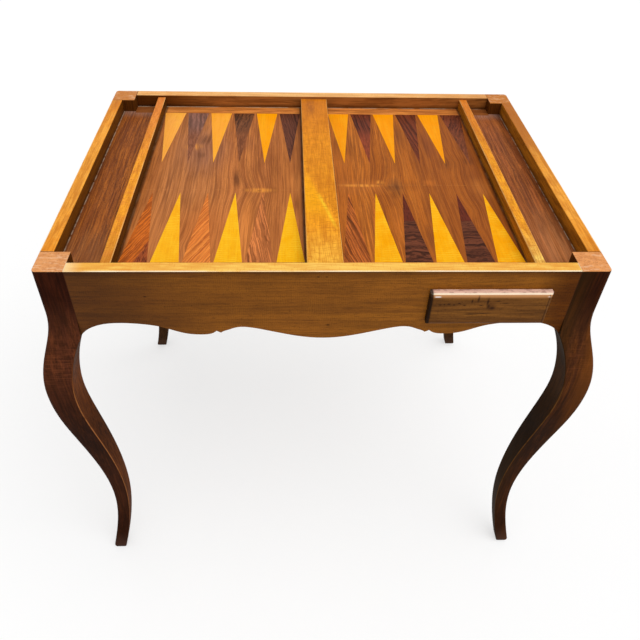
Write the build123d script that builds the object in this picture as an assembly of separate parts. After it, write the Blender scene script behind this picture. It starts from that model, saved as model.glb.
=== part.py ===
from build123d import *
import math
import os

# A games table with a sunk playing well, cabriole legs and one drawer.
# Millimetres. Origin on the floor under the middle of the table, +X to the right, +Y to the back, +Z up.

# Frame
table_length = 800
table_depth = 572
table_height = 740
post_size = 43
apron_thickness = 19.5
apron_drop = 130
edge_round = 1.2
tenon_length = 28
tenon_thickness = 8
tenon_height = 75
tenon_below_rim = 30
mortise_spare = 2
overrun = 5

# Cabriole legs: heights as shares of the table's height, and the two faces of the square
# section as shares of the post, both measured inwards from the post's outer face
leg_height_shares = (0.06, 0.13, 0.22, 0.32, 0.42, 0.52, 0.60, 0.67, 0.74, 0.80, 0.83, 0.86, 0.89)
leg_outer_shares = (-0.09, 0.12, 0.22, 0.135, -0.07, -0.33, -0.525, -0.615, -0.56, -0.315, -0.155, -0.043, 0)
leg_inner_shares = (0.47, 0.68, 0.83, 0.845, 0.76, 0.61, 0.475, 0.405, 0.49, 0.75, 0.98, 1.25, 1.54)
leg_sections = 30
leg_trim_share = 0.80
toe_outer_share = -0.28
toe_inner_share = 0.28
outer_arris_share = 0.14
inner_arris_share = 0.05
toe_round = 9
toe_outer_round_share = 0.35
toe_steps = 5

# Scalloped lower edge of each apron, from its middle to the post: runs as shares of the
# half length between posts, drops as shares of the apron's deepest drop
swell_run_shares = (0, 0.09, 0.20, 0.29, 0.33, 0.365, 0.39, 0.425)
swell_drop_shares = (1, 0.977, 0.902, 0.835, 0.819, 0.831, 0.86, 0.91)
notch_run_share = 0.443
notch_drop_share = 0.882
lobe_run_shares = (0.46, 0.513, 0.55, 0.594, 0.667, 0.728, 0.809, 0.89, 0.94, 0.985, 1)
lobe_drop_shares = (0.918, 0.939, 0.931, 0.898, 0.815, 0.776, 0.753, 0.764, 0.806, 0.893, 0.948)
arch_drop_share = 0.753

# Playing well
well_depth = 24
veneer_thickness = 1.5
floor_thickness = 10
floor_groove = 6
bar_width = 52
bar_below_rim = 5
separator_width = 15
separator_below_rim = 4
trough_width = 66.5
bar_round = 2
border_width = 29.5
points_per_row = 6
point_gap = 4.3
back_point_share = 0.4093
front_point_share = 0.3882

# Bearers under the floor
bearer_width = 30
bearer_height = 18
housing_depth = 5

# Drawer
drawer_face_width = 175
drawer_face_to_post = 34
drawer_lip = 7
drawer_proud = 11
drawer_face_round = 6
drawer_rail_height = 12
opening_below_floor = 4.5
drawer_lip_gap = 0.3
drawer_side_gap = 1
drawer_under_gap = 0.3
drawer_top_gap = 1.7
drawer_length = 300
drawer_tongue = 9
drawer_side_thickness = 9
drawer_back_thickness = 9
drawer_back_below_side = 3
drawer_bottom_thickness = 5
drawer_bottom_groove = 4
drawer_bottom_rise = 5
tail_blind = 1
tail_root = 8
tail_flare = 1.5
tail_place_shares = (0.27, 0.73)
runner_wall = 10
runner_shelf_width = 22
runner_shelf_height = 8

# Wood screws
screw_radius = 2
screw_head_radius = 4
screw_head_height = 2.4
screw_tip_length = 5
screw_tip_radius = 0.4
screw_slot_width = 1
screw_slot_depth = 1
screw_hole_gap = 0.1
bar_screw_depth = 12
separator_screw_depth = 10
screw_place_shares = (-0.38, 0, 0.38)

# Places worked out from the sizes above
half_length = table_length / 2
half_depth = table_depth / 2
wall_x = half_length - apron_thickness
wall_y = half_depth - apron_thickness
post_x = half_length - post_size
post_y = half_depth - post_size
playing_z = table_height - well_depth
floor_top_z = playing_z - veneer_thickness
floor_under_z = floor_top_z - floor_thickness
separator_outer_x = wall_x - trough_width
separator_inner_x = separator_outer_x - separator_width
separator_x = (separator_outer_x + separator_inner_x) / 2
border_y = wall_y - border_width
back_point_length = back_point_share * 2 * border_y
front_point_length = front_point_share * 2 * border_y
corner_round = outer_arris_share * post_size

opening_top_z = floor_under_z - opening_below_floor
opening_bottom_z = table_height - apron_drop * arch_drop_share + drawer_rail_height
face_right_x = post_x - drawer_face_to_post
face_left_x = face_right_x - drawer_face_width
opening_right_x = face_right_x - drawer_lip
opening_left_x = face_left_x + drawer_lip
box_left_x = opening_left_x + drawer_side_gap
box_right_x = opening_right_x - drawer_side_gap
box_bottom_z = opening_bottom_z + drawer_under_gap
box_top_z = opening_top_z - drawer_top_gap
lip_back_y = -half_depth - drawer_lip_gap
face_y = lip_back_y - drawer_proud
tongue_back_y = lip_back_y + drawer_tongue
box_back_y = lip_back_y + drawer_length
bottom_low_z = box_bottom_z + drawer_bottom_rise
bottom_high_z = bottom_low_z + drawer_bottom_thickness
back_top_z = box_top_z - drawer_back_below_side

bearer_under_z = floor_under_z - bearer_height
long_screw_length = bearer_height + floor_thickness + bar_screw_depth
short_screw_length = floor_thickness + separator_screw_depth


def block(x_span, y_span, z_span):
    """A rectangular solid between two places along each axis."""
    spans = (x_span, y_span, z_span)
    sizes = [high - low for low, high in spans]
    middles = [(high + low) / 2 for low, high in spans]
    return Pos(*middles) * Box(*sizes)


def four_ways(solid):
    """The front left solid, and its mirror images for the other three corners."""
    right = mirror(solid, about=Plane.YZ)
    return {
        "front_left": solid,
        "front_right": right,
        "back_left": mirror(solid, about=Plane.XZ),
        "back_right": mirror(right, about=Plane.XZ),
    }


# Legs

def leg_section(height, outer, inner):
    """The square section of the front left leg: a soft outer corner, the other arrises crisper."""
    width = inner - outer
    centre = (outer + inner) / 2
    arris_width = min(width, post_size)
    square = Rectangle(width, width)
    corners = square.vertices().sort_by(lambda corner: corner.X + corner.Y)
    square = fillet(corners[1:], inner_arris_share * arris_width)
    outermost = square.vertices().sort_by(lambda corner: corner.X + corner.Y)[0]
    square = fillet(outermost, outer_arris_share * arris_width)
    return Pos(centre - half_length, centre - half_depth, height) * square


def leg_toe(outer, inner):
    """The rounded last few millimetres of the foot, worn more on its inner side."""
    sections = []
    for step in range(toe_steps + 1):
        angle = math.pi / 2 * step / toe_steps
        inset = toe_round * (1 - math.sin(angle))
        height = toe_round * (1 - math.cos(angle))
        sections.append(leg_section(height, outer + inset * toe_outer_round_share, inner - inset))
    return loft(sections, ruled=True)


def tenon(half_clear, outer_face, spare=0):
    """The tenon at the right hand end of an apron that runs along X."""
    middle_y = apron_thickness / 2 - outer_face
    top_z = table_height - tenon_below_rim
    return block(
        (half_clear, half_clear + tenon_length + spare),
        (middle_y - tenon_thickness / 2, middle_y + tenon_thickness / 2),
        (top_z - tenon_height, top_z),
    )


def side_turn(solid):
    """An apron's solid turned from the front of the table to its left side."""
    return Rot(0, 0, -90) * solid


def leg():
    """The front left leg: a square post above, and the curved leg below it."""
    toe_outer = toe_outer_share * post_size
    toe_inner = toe_inner_share * post_size
    stations = [(toe_outer, toe_inner, toe_round)]
    rows = zip(leg_outer_shares, leg_inner_shares, leg_height_shares)
    for outer_share, inner_share, height_share in rows:
        stations.append((outer_share * post_size, inner_share * post_size, height_share * table_height))
    sweep_line = Spline(*stations)
    sections = []
    for step in range(leg_sections + 1):
        outer, inner, height = sweep_line @ (step / leg_sections)
        sections.append(leg_section(height, outer, inner))
    curve = loft(sections)
    post_low_z = leg_height_shares[-1] * table_height
    trim_z = (leg_trim_share * table_height, post_low_z)
    beyond_x = (-post_x, -post_x + post_size)
    beyond_y = (-post_y, -post_y + post_size)
    all_x = (-half_length - post_size, -post_x + post_size)
    all_y = (-half_depth - post_size, -post_y + post_size)
    curve -= block(beyond_x, all_y, trim_z)
    curve -= block(all_x, beyond_y, trim_z)
    post = block((-half_length, -post_x), (-half_depth, -post_y), (post_low_z, table_height))
    corner = post.edges().filter_by(Axis.Z).sort_by(Axis.X)[:2].sort_by(Axis.Y)[0]
    post = fillet(corner, corner_round)
    rim = post.edges().group_by(Axis.Z)[-1]
    inner = rim.group_by(Axis.X)[-1] + rim.group_by(Axis.Y)[-1]
    outer_rim = [edge for edge in rim if edge not in inner]
    post = fillet(outer_rim, edge_round)
    solid = post + curve + leg_toe(toe_outer, toe_inner)
    solid -= mirror(tenon(post_x, half_depth, mortise_spare), about=Plane.YZ)
    solid -= side_turn(tenon(post_y, half_length, mortise_spare))
    return solid


# Aprons

def lower_edge(half_clear):
    """The right half of an apron's scalloped lower edge, from the middle to the post."""
    swell = [
        (run * half_clear, table_height - drop * apron_drop)
        for run, drop in zip(swell_run_shares, swell_drop_shares)
    ]
    notch = (notch_run_share * half_clear, table_height - notch_drop_share * apron_drop)
    lobe = [
        (run * half_clear, table_height - drop * apron_drop)
        for run, drop in zip(lobe_run_shares, lobe_drop_shares)
    ]
    swell_curve = Spline(*swell, tangents=[(1, 0), (1, -1)])
    return [swell_curve, Line(swell[-1], notch), Spline(notch, *lobe)], lobe[-1]


def apron(half_clear, outer_face):
    """An apron along X on the front side, its tenons, its floor groove and its scallops."""
    right, end = lower_edge(half_clear)
    left = [mirror(edge, about=Plane.YZ) for edge in right]
    left_end = (-end[0], end[1])
    sides = [
        Line(end, (half_clear, table_height)),
        Line((half_clear, table_height), (-half_clear, table_height)),
        Line((-half_clear, table_height), left_end),
    ]
    profile = make_face(right + left + sides)
    inner_face = outer_face - apron_thickness
    board = extrude(Plane.XZ.offset(inner_face) * profile, amount=apron_thickness)
    rim = board.edges().group_by(Axis.Z)[-1].filter_by(Axis.X)
    board = fillet(rim, edge_round)
    board -= block(
        (-half_clear, half_clear),
        (-inner_face - floor_groove, -inner_face),
        (floor_under_z, floor_top_z),
    )
    right_tenon = tenon(half_clear, outer_face)
    return board + right_tenon + mirror(right_tenon, about=Plane.YZ)


def housed(board):
    """A long apron with the housings for the bearers and the drawer's runners."""
    for piece in (bearer(0), bearer(-separator_x), runner(1), runner(-1)):
        board -= piece
    return board


def apron_back():
    return housed(mirror(apron(post_x, half_depth), about=Plane.XZ))


def apron_front():
    """The front apron, with the drawer's opening."""
    opening = block(
        (opening_left_x, opening_right_x),
        (-half_depth - overrun, -wall_y + overrun),
        (opening_bottom_z, opening_top_z),
    )
    return housed(apron(post_x, half_depth)) - opening


# Under the floor

def bearer(middle_x):
    """A cross bearer from front apron to back apron, housed into both."""
    end_y = wall_y + housing_depth
    return block(
        (middle_x - bearer_width / 2, middle_x + bearer_width / 2),
        (-end_y, end_y),
        (floor_under_z - bearer_height, floor_under_z),
    )


def runner(side):
    """An L-shaped drawer runner with its guide wall: side 1 is the left one, -1 the right one."""
    end_y = wall_y + housing_depth
    opening_edge_x = opening_left_x if side > 0 else opening_right_x
    outer_x = opening_edge_x - side * runner_wall
    shelf_x = outer_x + side * runner_shelf_width
    shelf_low_z = opening_bottom_z - runner_shelf_height
    wall_span = (min(outer_x, opening_edge_x), max(outer_x, opening_edge_x))
    shelf_span = (min(outer_x, shelf_x), max(outer_x, shelf_x))
    wall = block(wall_span, (-end_y, end_y), (shelf_low_z, floor_under_z))
    shelf = block(shelf_span, (-end_y, end_y), (shelf_low_z, opening_bottom_z))
    return wall + shelf


def floor_blank():
    """The floor board before its screw holes, notched round the four posts."""
    edge_x = wall_x + floor_groove
    edge_y = wall_y + floor_groove
    board = block((-edge_x, edge_x), (-edge_y, edge_y), (floor_under_z, floor_top_z))
    notch = block(
        (-edge_x - overrun, -post_x),
        (-edge_y - overrun, -post_y),
        (floor_under_z - overrun, floor_top_z + overrun),
    )
    for corner in four_ways(notch).values():
        board -= corner
    return board


# Playing well

def divider(middle_x, width, below_rim):
    """A bar across the well, standing on the floor board from end wall to end wall."""
    bar = block(
        (middle_x - width / 2, middle_x + width / 2),
        (-wall_y, wall_y),
        (floor_top_z, table_height - below_rim),
    )
    return fillet(bar.edges().group_by(Axis.Z)[-1], bar_round)


def compartments():
    """The X spans between the bars and the walls, from left to right."""
    field = (bar_width / 2, separator_inner_x)
    trough = (separator_outer_x, wall_x)
    return {
        "trough_left": (-trough[1], -trough[0]),
        "field_left": (-field[1], -field[0]),
        "field_right": field,
        "trough_right": trough,
    }


def veneer_block(x_span, y_span):
    return block(x_span, y_span, (floor_top_z, playing_z))


def border_strips(side):
    """The four strips along one end wall: side 1 is the back, -1 the front."""
    y_span = (border_y, wall_y) if side > 0 else (-wall_y, -border_y)
    strips = []
    for low_x, high_x in compartments().values():
        strips.append(veneer_block((max(low_x, -post_x), min(high_x, post_x)), y_span))
    return Compound(children=strips)


def trough_veneer(name):
    """A trough's floor, which also fills the corners in front of the posts."""
    low_x, high_x = compartments()[name]
    sheet = veneer_block((low_x, high_x), (-post_y, post_y))
    strip_x = (max(low_x, -post_x), min(high_x, post_x))
    if post_y > border_y:
        sheet -= veneer_block(strip_x, (border_y, post_y))
        sheet -= veneer_block(strip_x, (-post_y, -border_y))
    return sheet


def row_points(field_name, side):
    """The six points of one row of a field: side 1 is the back row, -1 the front row."""
    low_x, high_x = compartments()[field_name]
    pitch = (high_x - low_x) / points_per_row
    half_base = (pitch - point_gap) / 2
    base_y = side * border_y
    tip_y = base_y - side * (back_point_length if side > 0 else front_point_length)
    points = []
    for number in range(points_per_row):
        middle_x = low_x + pitch * number + pitch / 2
        corners = [(middle_x - half_base, base_y), (middle_x + half_base, base_y), (middle_x, tip_y)]
        outline = make_face(Polyline(*corners, close=True))
        lifted = Pos(0, 0, floor_top_z) * outline
        points.append(extrude(lifted, amount=veneer_thickness, dir=(0, 0, 1)))
    return points


def field_veneer(name):
    """A field's walnut ground, with a cut-out for each point."""
    sheet = veneer_block(compartments()[name], (-border_y, border_y))
    for point in row_points(name, 1) + row_points(name, -1):
        sheet -= point
    return sheet


# Screws

def screw(length, gap=0):
    """A countersunk wood screw standing on its head, pointing up, or with a gap its hole."""
    head_radius = screw_head_radius + gap
    shank_radius = screw_radius + gap
    tip_z = length + gap
    profile = Polyline(
        (0, 0),
        (head_radius, 0),
        (shank_radius, screw_head_height),
        (shank_radius, tip_z - screw_tip_length),
        (screw_tip_radius + gap, tip_z),
        (0, tip_z),
        close=True,
    )
    return revolve(Plane.XZ * make_face(profile), axis=Axis.Z)


def slotted(solid):
    """A screw with the slot cut across its head."""
    half_slot = screw_slot_width / 2
    reach = screw_head_radius + overrun
    return solid - block((-reach, reach), (-half_slot, half_slot), (-overrun, screw_slot_depth))


def screw_places(middle_x, head_z):
    return [Pos(middle_x, share * table_depth, head_z) for share in screw_place_shares]


def long_places():
    """Where the screws stand that go through a bearer into a bar above it."""
    return screw_places(0, bearer_under_z) + screw_places(-separator_x, bearer_under_z)


def short_places():
    """Where the screws stand that go through the floor board into the right separator."""
    return screw_places(separator_x, floor_under_z)


def drilled(piece):
    """A piece with the holes of all the screws that reach it."""
    for place in long_places():
        piece -= place * screw(long_screw_length, screw_hole_gap)
    for place in short_places():
        piece -= place * screw(short_screw_length, screw_hole_gap)
    return piece


# Drawer

def tails(from_y, reach, x_span):
    """The dovetails on the end of a drawer side: reach is signed, towards the joined board."""
    zone = back_top_z - bottom_high_z
    half_root = tail_root / 2
    half_tip = half_root + tail_flare
    solids = []
    for share in tail_place_shares:
        middle_z = bottom_high_z + share * zone
        corners = [
            (from_y, middle_z - half_root),
            (from_y + reach, middle_z - half_tip),
            (from_y + reach, middle_z + half_tip),
            (from_y, middle_z + half_root),
        ]
        outline = Plane.YZ.offset(x_span[0]) * make_face(Polyline(*corners, close=True))
        solids.append(extrude(outline, amount=x_span[1] - x_span[0]))
    return solids


def side_span(side):
    """The X span of a drawer side: side -1 is the left one, 1 the right one."""
    if side < 0:
        return (box_left_x, box_left_x + drawer_side_thickness)
    return (box_right_x - drawer_side_thickness, box_right_x)


def side_tails(side):
    """All four dovetails of one drawer side: two into the front, two into the back."""
    front = tails(tongue_back_y, tail_blind - drawer_tongue, side_span(side))
    back = tails(box_back_y - drawer_back_thickness, drawer_back_thickness, side_span(side))
    return front + back


def drawer_bottom():
    """The bottom, in grooves in the sides and the front, passing under the back."""
    groove_x = drawer_side_thickness - drawer_bottom_groove
    return block(
        (box_left_x + groove_x, box_right_x - groove_x),
        (tongue_back_y - drawer_bottom_groove, box_back_y),
        (bottom_low_z, bottom_high_z),
    )


def drawer_side(side):
    board = block(
        side_span(side),
        (tongue_back_y, box_back_y - drawer_back_thickness),
        (box_bottom_z, box_top_z),
    )
    for tail in side_tails(side):
        board += tail
    heel = block(
        side_span(side),
        (box_back_y - drawer_back_thickness, box_back_y),
        (box_bottom_z, bottom_high_z),
    )
    return board + heel - drawer_bottom()


def drawer_back():
    board = block(
        (box_left_x, box_right_x),
        (box_back_y - drawer_back_thickness, box_back_y),
        (bottom_high_z, back_top_z),
    )
    for side in (-1, 1):
        for tail in side_tails(side):
            board -= tail
    return board


def drawer_front():
    """The lipped front: a moulded face proud of the apron, and a tongue in the opening."""
    lip = block(
        (face_left_x, face_right_x),
        (face_y, lip_back_y),
        (opening_bottom_z - drawer_lip, opening_top_z + drawer_lip),
    )
    lip = fillet(lip.edges().group_by(Axis.Y)[0], drawer_face_round)
    tongue = block((box_left_x, box_right_x), (lip_back_y, tongue_back_y), (box_bottom_z, box_top_z))
    front = lip + tongue - drawer_bottom()
    for side in (-1, 1):
        for tail in side_tails(side):
            front -= tail
    return front


def build():
    parts = {}
    for corner, solid in four_ways(leg()).items():
        parts["leg_" + corner] = solid
    parts["apron_front"] = apron_front()
    parts["apron_back"] = apron_back()
    parts["apron_left"] = side_turn(apron(post_y, half_length))
    parts["apron_right"] = mirror(parts["apron_left"], about=Plane.YZ)
    parts["floor_board"] = drilled(floor_blank())
    parts["bearer_centre"] = drilled(bearer(0))
    parts["bearer_left"] = drilled(bearer(-separator_x))
    parts["runner_left"] = runner(1)
    parts["runner_right"] = runner(-1)
    parts["centre_bar"] = drilled(divider(0, bar_width, bar_below_rim))
    parts["separator_left"] = drilled(divider(-separator_x, separator_width, separator_below_rim))
    parts["separator_right"] = drilled(divider(separator_x, separator_width, separator_below_rim))
    for hand in ("left", "right"):
        parts["field_veneer_" + hand] = field_veneer("field_" + hand)
        parts["trough_veneer_" + hand] = trough_veneer("trough_" + hand)
        for row, side in (("back", 1), ("front", -1)):
            for number, point in enumerate(row_points("field_" + hand, side), start=1):
                parts[f"point_{row}_{hand}_{number}"] = point
    parts["border_strips_back"] = border_strips(1)
    parts["border_strips_front"] = border_strips(-1)
    parts["drawer_front"] = drawer_front()
    parts["drawer_side_left"] = drawer_side(-1)
    parts["drawer_side_right"] = drawer_side(1)
    parts["drawer_back"] = drawer_back()
    parts["drawer_bottom"] = drawer_bottom()
    long_screws = [place * slotted(screw(long_screw_length)) for place in long_places()]
    short_screws = [place * slotted(screw(short_screw_length)) for place in short_places()]
    parts["bearer_screws"] = Compound(children=long_screws)
    parts["short_screws"] = Compound(children=short_screws)
    return parts


os.makedirs("parts", exist_ok=True)
for name, solid in build().items():
    export_step(solid, "parts/" + name + ".step")
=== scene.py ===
import math

import bpy
from mathutils import Matrix, Vector


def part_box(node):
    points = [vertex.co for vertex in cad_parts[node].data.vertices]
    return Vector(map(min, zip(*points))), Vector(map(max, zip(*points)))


# A games table with a sunk playing well, cabriole legs and one drawer.
# Metres. Origin on the floor under the middle of the table, +X to the right, +Y to the back, +Z up.

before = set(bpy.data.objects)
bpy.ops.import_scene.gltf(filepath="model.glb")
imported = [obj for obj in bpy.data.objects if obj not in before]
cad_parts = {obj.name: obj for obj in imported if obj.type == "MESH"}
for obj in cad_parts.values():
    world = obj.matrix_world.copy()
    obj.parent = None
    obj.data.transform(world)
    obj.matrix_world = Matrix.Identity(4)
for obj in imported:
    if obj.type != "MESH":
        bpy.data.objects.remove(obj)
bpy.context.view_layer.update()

MM = 0.001

# Places on the table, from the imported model
rim_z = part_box("apron_front")[1].z
rail_front_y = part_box("apron_front")[0].y
wall_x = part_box("trough_veneer_right")[1].x
wall_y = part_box("centre_bar")[1].y
post_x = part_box("border_strips_back")[1].x
post_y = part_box("trough_veneer_right")[1].y
playing_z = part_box("field_veneer_right")[1].z
bar_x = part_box("centre_bar")[1].x
bar_top_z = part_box("centre_bar")[1].z
separator_in_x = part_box("separator_right")[0].x
separator_out_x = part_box("separator_right")[1].x
separator_top_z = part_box("separator_right")[1].z
drawer_low, drawer_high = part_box("drawer_front")
drawer_to_end = 77 * MM
half_length = drawer_high.x + drawer_to_end

# The repeat of a wave texture at a scale of 1, in metres
wave_repeat = 2 * math.pi / 20

# How far one step of a seed moves a pattern along X, Y and Z, so that no two are alike
seed_steps = (1.7, 2.3, 3.1)

# How far one step of a seed moves a board along its log, in metres
board_step = 0.37

# A noise strays about a quarter to each side of its middle, so this brings it to a full reach
noise_to_reach = 4

# Near a knot the grain is bent a little further along than across
knot_stretch = (0.8, 1, 0)


def linear(code):
    """A linear colour from an sRGB hex value."""
    channels = [int(code[place:place + 2], 16) / 255 for place in (1, 3, 5)]
    return [c / 12.92 if c <= 0.04045 else ((c + 0.055) / 1.055) ** 2.4 for c in channels] + [1.0]


def add(tree, kind, inputs=None, **settings):
    """Adds a node: settings are its own properties, inputs are values or sockets to link."""
    made = tree.nodes.new(kind)
    for name, value in settings.items():
        setattr(made, name, value)
    for name, value in (inputs or {}).items():
        if isinstance(value, bpy.types.NodeSocket):
            tree.links.new(value, made.inputs[name])
        else:
            made.inputs[name].default_value = value
    return made


def product(tree, *values):
    """Several masks or numbers multiplied together."""
    total = values[0]
    for value in values[1:]:
        total = add(tree, "ShaderNodeMath", {0: total, 1: value}, operation="MULTIPLY").outputs[0]
    return total


def ramp(tree, value, low, high):
    """A soft step from 0 at low to 1 at high."""
    step = add(
        tree, "ShaderNodeMapRange", {"Value": value, "From Min": low, "From Max": high},
        interpolation_type="SMOOTHSTEP",
    )
    return step.outputs[0]


def span(tree, value, low, high, soft):
    """A soft mask that is 1 while the value lies between two places."""
    rise = ramp(tree, value, low - soft, low + soft)
    fall = ramp(tree, value, high + soft, high - soft)
    return product(tree, rise, fall)


def patches(tree, vector, size, low, high, seed, stretch=(1, 1, 1)):
    """A mask of soft patches about that many millimetres across, drawn out by stretch along X, Y and Z."""
    moved = add(
        tree, "ShaderNodeMapping",
        {"Vector": vector, "Location": [seed * step for step in seed_steps],
         "Scale": [1 / (size * MM * share) for share in stretch]},
    )
    noise = add(
        tree, "ShaderNodeTexNoise",
        {"Vector": moved.outputs[0], "Scale": 1.0, "Detail": 4.0, "Roughness": 0.6},
    )
    return ramp(tree, noise.outputs["Fac"], low, high)


def laid(tree, colour, *masks, way="MIX"):
    """One layer of colour, stain, wear or painted light and shade: the masks multiplied together say how much
    shows.
    """
    return product(tree, *masks), linear(colour), way


def graded(tree, axes, tones, *masks):
    """Colours that come in along an axis, some painted light and shade: the axis, where each starts and is
    full, strength, colour, way.
    """
    layers = []
    for along, start, full, strength, colour, *way in tones:
        here = ramp(tree, axes[along], start, full)
        layers.append(laid(tree, colour, *masks, here, strength, way=way[0] if way else "MIX"))
    return layers


def painted(tree, colour, layers):
    """Colours laid over each other: each layer is a mask, a colour, and a way to mix."""
    for mask, over, way in layers:
        mix = add(tree, "ShaderNodeMix", data_type="RGBA", blend_type=way)
        # A colour mix has its factor at socket 0, and its two colours at 6 and 7.
        for socket, value in ((mix.inputs[0], mask), (mix.inputs[6], colour), (mix.inputs[7], over)):
            if isinstance(value, bpy.types.NodeSocket):
                tree.links.new(value, socket)
            else:
                socket.default_value = value
        colour = mix.outputs[2]
    return colour


def along_grain(tree, order, fold):
    """Object coordinates with the grain along X; a fold mirrors it about that Y, as matched veneer is."""
    coordinates = add(tree, "ShaderNodeTexCoord").outputs["Object"]
    axes = dict(zip("xyz", add(tree, "ShaderNodeSeparateXYZ", {0: coordinates}).outputs))
    folded = dict(axes)
    if fold is not None:
        apart = add(tree, "ShaderNodeMath", {0: axes["y"], 1: fold}, operation="SUBTRACT")
        folded["y"] = add(tree, "ShaderNodeMath", {0: apart.outputs[0]}, operation="ABSOLUTE").outputs[0]
    joined = add(tree, "ShaderNodeCombineXYZ", dict(enumerate(folded[axis] for axis in order)))
    return joined.outputs[0], coordinates, axes


def bent(tree, vector, bends):
    """Grain drawn sideways near a knot: its place along and across the grain, its reach, and the shift."""
    for along, across, reach, shift in bends:
        offset = add(tree, "ShaderNodeVectorMath", {0: vector, 1: (along, across, 0)}, operation="SUBTRACT")
        flat = add(
            tree, "ShaderNodeVectorMath", {0: offset.outputs[0], 1: knot_stretch}, operation="MULTIPLY",
        )
        away = add(tree, "ShaderNodeVectorMath", {0: flat.outputs[0]}, operation="LENGTH").outputs["Value"]
        near = add(
            tree, "ShaderNodeMapRange", {"Value": away, "From Min": reach, "From Max": 0.0},
        ).outputs[0]
        pushed = add(
            tree, "ShaderNodeVectorMath", {0: (0, shift, 0), "Scale": product(tree, near, near)},
            operation="SCALE",
        )
        moved = add(tree, "ShaderNodeVectorMath", {0: vector, 1: pushed.outputs[0]}, operation="SUBTRACT")
        vector = moved.outputs[0]
    return vector


def swayed(tree, vector, size, reach):
    """The vector pushed about by roughly that reach, over patches of that size, in millimetres."""
    drift = add(
        tree, "ShaderNodeTexNoise",
        {"Vector": vector, "Scale": 1 / (size * MM), "Detail": 1.0, "Roughness": 0.5},
    )
    centred = add(
        tree, "ShaderNodeVectorMath", {0: drift.outputs["Color"], 1: (0.5, 0.5, 0.5)},
        operation="SUBTRACT",
    )
    pushed = add(
        tree, "ShaderNodeVectorMath", {0: centred.outputs[0], "Scale": noise_to_reach * reach * MM},
        operation="SCALE",
    )
    return add(tree, "ShaderNodeVectorMath", {0: vector, 1: pushed.outputs[0]}, operation="ADD").outputs[0]


def wave(tree, vector, kind, gap, distortion, wander, **settings):
    """A wave texture that repeats after that gap, in millimetres; wander sets how fine its drift is."""
    made = add(
        tree, "ShaderNodeTexWave",
        {"Vector": vector, "Scale": wave_repeat / (gap * MM), "Distortion": distortion, "Detail": 3.0,
         "Detail Scale": wander, "Detail Roughness": 0.6},
        wave_type=kind, **settings,
    )
    return made.outputs["Fac"]


def wood(name, order, light, dark, streak, warm, seed, rings=(15, 0.4), lines=(4.5, 0.45, 0.5), stray=4,
         hairs=0.4, pores=0.3, streaks=(18, 0.35), glow=(13, 0.35), curl=(7, 0), clouds=0.25, grime=0.15,
         sway=(75, 8), ripple=(30, 0), run=0.11, pith=(30, 14), tilt=0, fold=None, bends=(), roughness=0.36,
         relief=0.12, shine=0.03, marks=None):
    """Polished solid wood or veneer, its grain along the first axis of order.

    rings, lines, streaks, glow and curl have a size and a strength, and lines also the share of their
    gap that stays clear. sway and ripple have a size and a reach. Sizes are in millimetres. run is how
    fast the figure changes along the grain, as a share of across it, and pith is the board's place in
    its log.
    """
    material = bpy.data.materials.new(name)
    material.use_nodes = True
    tree = material.node_tree
    tree.nodes.clear()
    vector, plain, axes = along_grain(tree, order, fold)
    vector = bent(tree, vector, bends)
    turn = (0, 0, math.radians(tilt))
    vector = add(tree, "ShaderNodeMapping", {"Vector": vector, "Rotation": turn}).outputs[0]
    log = add(
        tree, "ShaderNodeMapping",
        {"Vector": swayed(tree, vector, *ripple),
         "Location": (seed * board_step, pith[0] * MM, pith[1] * MM), "Scale": (run, 1, 1)},
    ).outputs[0]
    log = swayed(tree, log, *sway)
    yearly = wave(tree, log, "RINGS", rings[0], distortion=2.4, wander=0.35, wave_profile="SAW")
    bands = ramp(tree, yearly, 0.2, 1)
    saw = wave(tree, log, "BANDS", lines[0], distortion=stray, wander=0.8, wave_profile="SAW",
               bands_direction="Y")
    broken = patches(tree, log, 2.4 * lines[0], 0.28, 0.62, seed + 17)
    thin = product(tree, ramp(tree, saw, lines[2], 0.97), broken)
    # Real hair lines and pores are too fine to show from here, so they are drawn 1 to 3 mm across.
    fine = patches(tree, log, 2.6, 0.46, 0.60, seed, stretch=(3, 1, 1))
    dashes = patches(tree, log, 1.3, 0.57, 0.66, seed + 3)
    broad = patches(tree, log, streaks[0], 0.46, 0.60, seed + 5)
    gleam = patches(tree, log, glow[0], 0.47, 0.62, seed + 9, stretch=(1.4, 1, 1))
    cloudy = patches(tree, vector, 90, 0.25, 0.75, seed + 7, stretch=(2, 1, 1))
    grimy = patches(tree, plain, 2.2, 0.5, 0.7, seed + 15)
    layers = [
        laid(tree, colour, mask, strength)
        for colour, mask, strength in (
            (dark, bands, rings[1]), (warm, gleam, glow[1]), (dark, broad, streaks[1]),
            (streak, thin, lines[1]), (streak, fine, hairs), (dark, cloudy, clouds),
            (streak, dashes, pores), (streak, grimy, grime),
        )
    ]
    if curl[1]:
        waves = wave(tree, vector, "BANDS", curl[0], distortion=7.0, wander=0.5)
        flecked = patches(tree, vector, 24, 0.35, 0.65, seed + 13)
        layers.append(laid(tree, warm, waves, flecked, curl[1]))
    colour = painted(tree, linear(light), layers)
    if marks:
        colour = painted(tree, colour, marks(tree, axes, plain, log))
    # Rings and lines stand a little proud of the surface, and pores are sunk in it.
    height = 0.0
    for part, share in ((bands, 0.3), (thin, 0.25), (fine, 0.4), (dashes, -0.6)):
        raised = product(tree, part, share)
        height = add(tree, "ShaderNodeMath", {0: raised, 1: height}, operation="ADD").outputs[0]
    bump = add(tree, "ShaderNodeBump", {"Strength": relief, "Distance": 0.6 * MM, "Height": height})
    sheen = add(
        tree, "ShaderNodeMapRange", {"Value": cloudy, "To Min": roughness - 0.05, "To Max": roughness + 0.08},
    )
    shader = add(
        tree, "ShaderNodeBsdfPrincipled",
        {"Base Color": colour, "Roughness": sheen.outputs[0], "IOR": 1.5, "Specular IOR Level": shine,
         "Normal": bump.outputs[0]},
    )
    add(tree, "ShaderNodeOutputMaterial", {"Surface": shader.outputs[0]})
    return material


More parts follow.
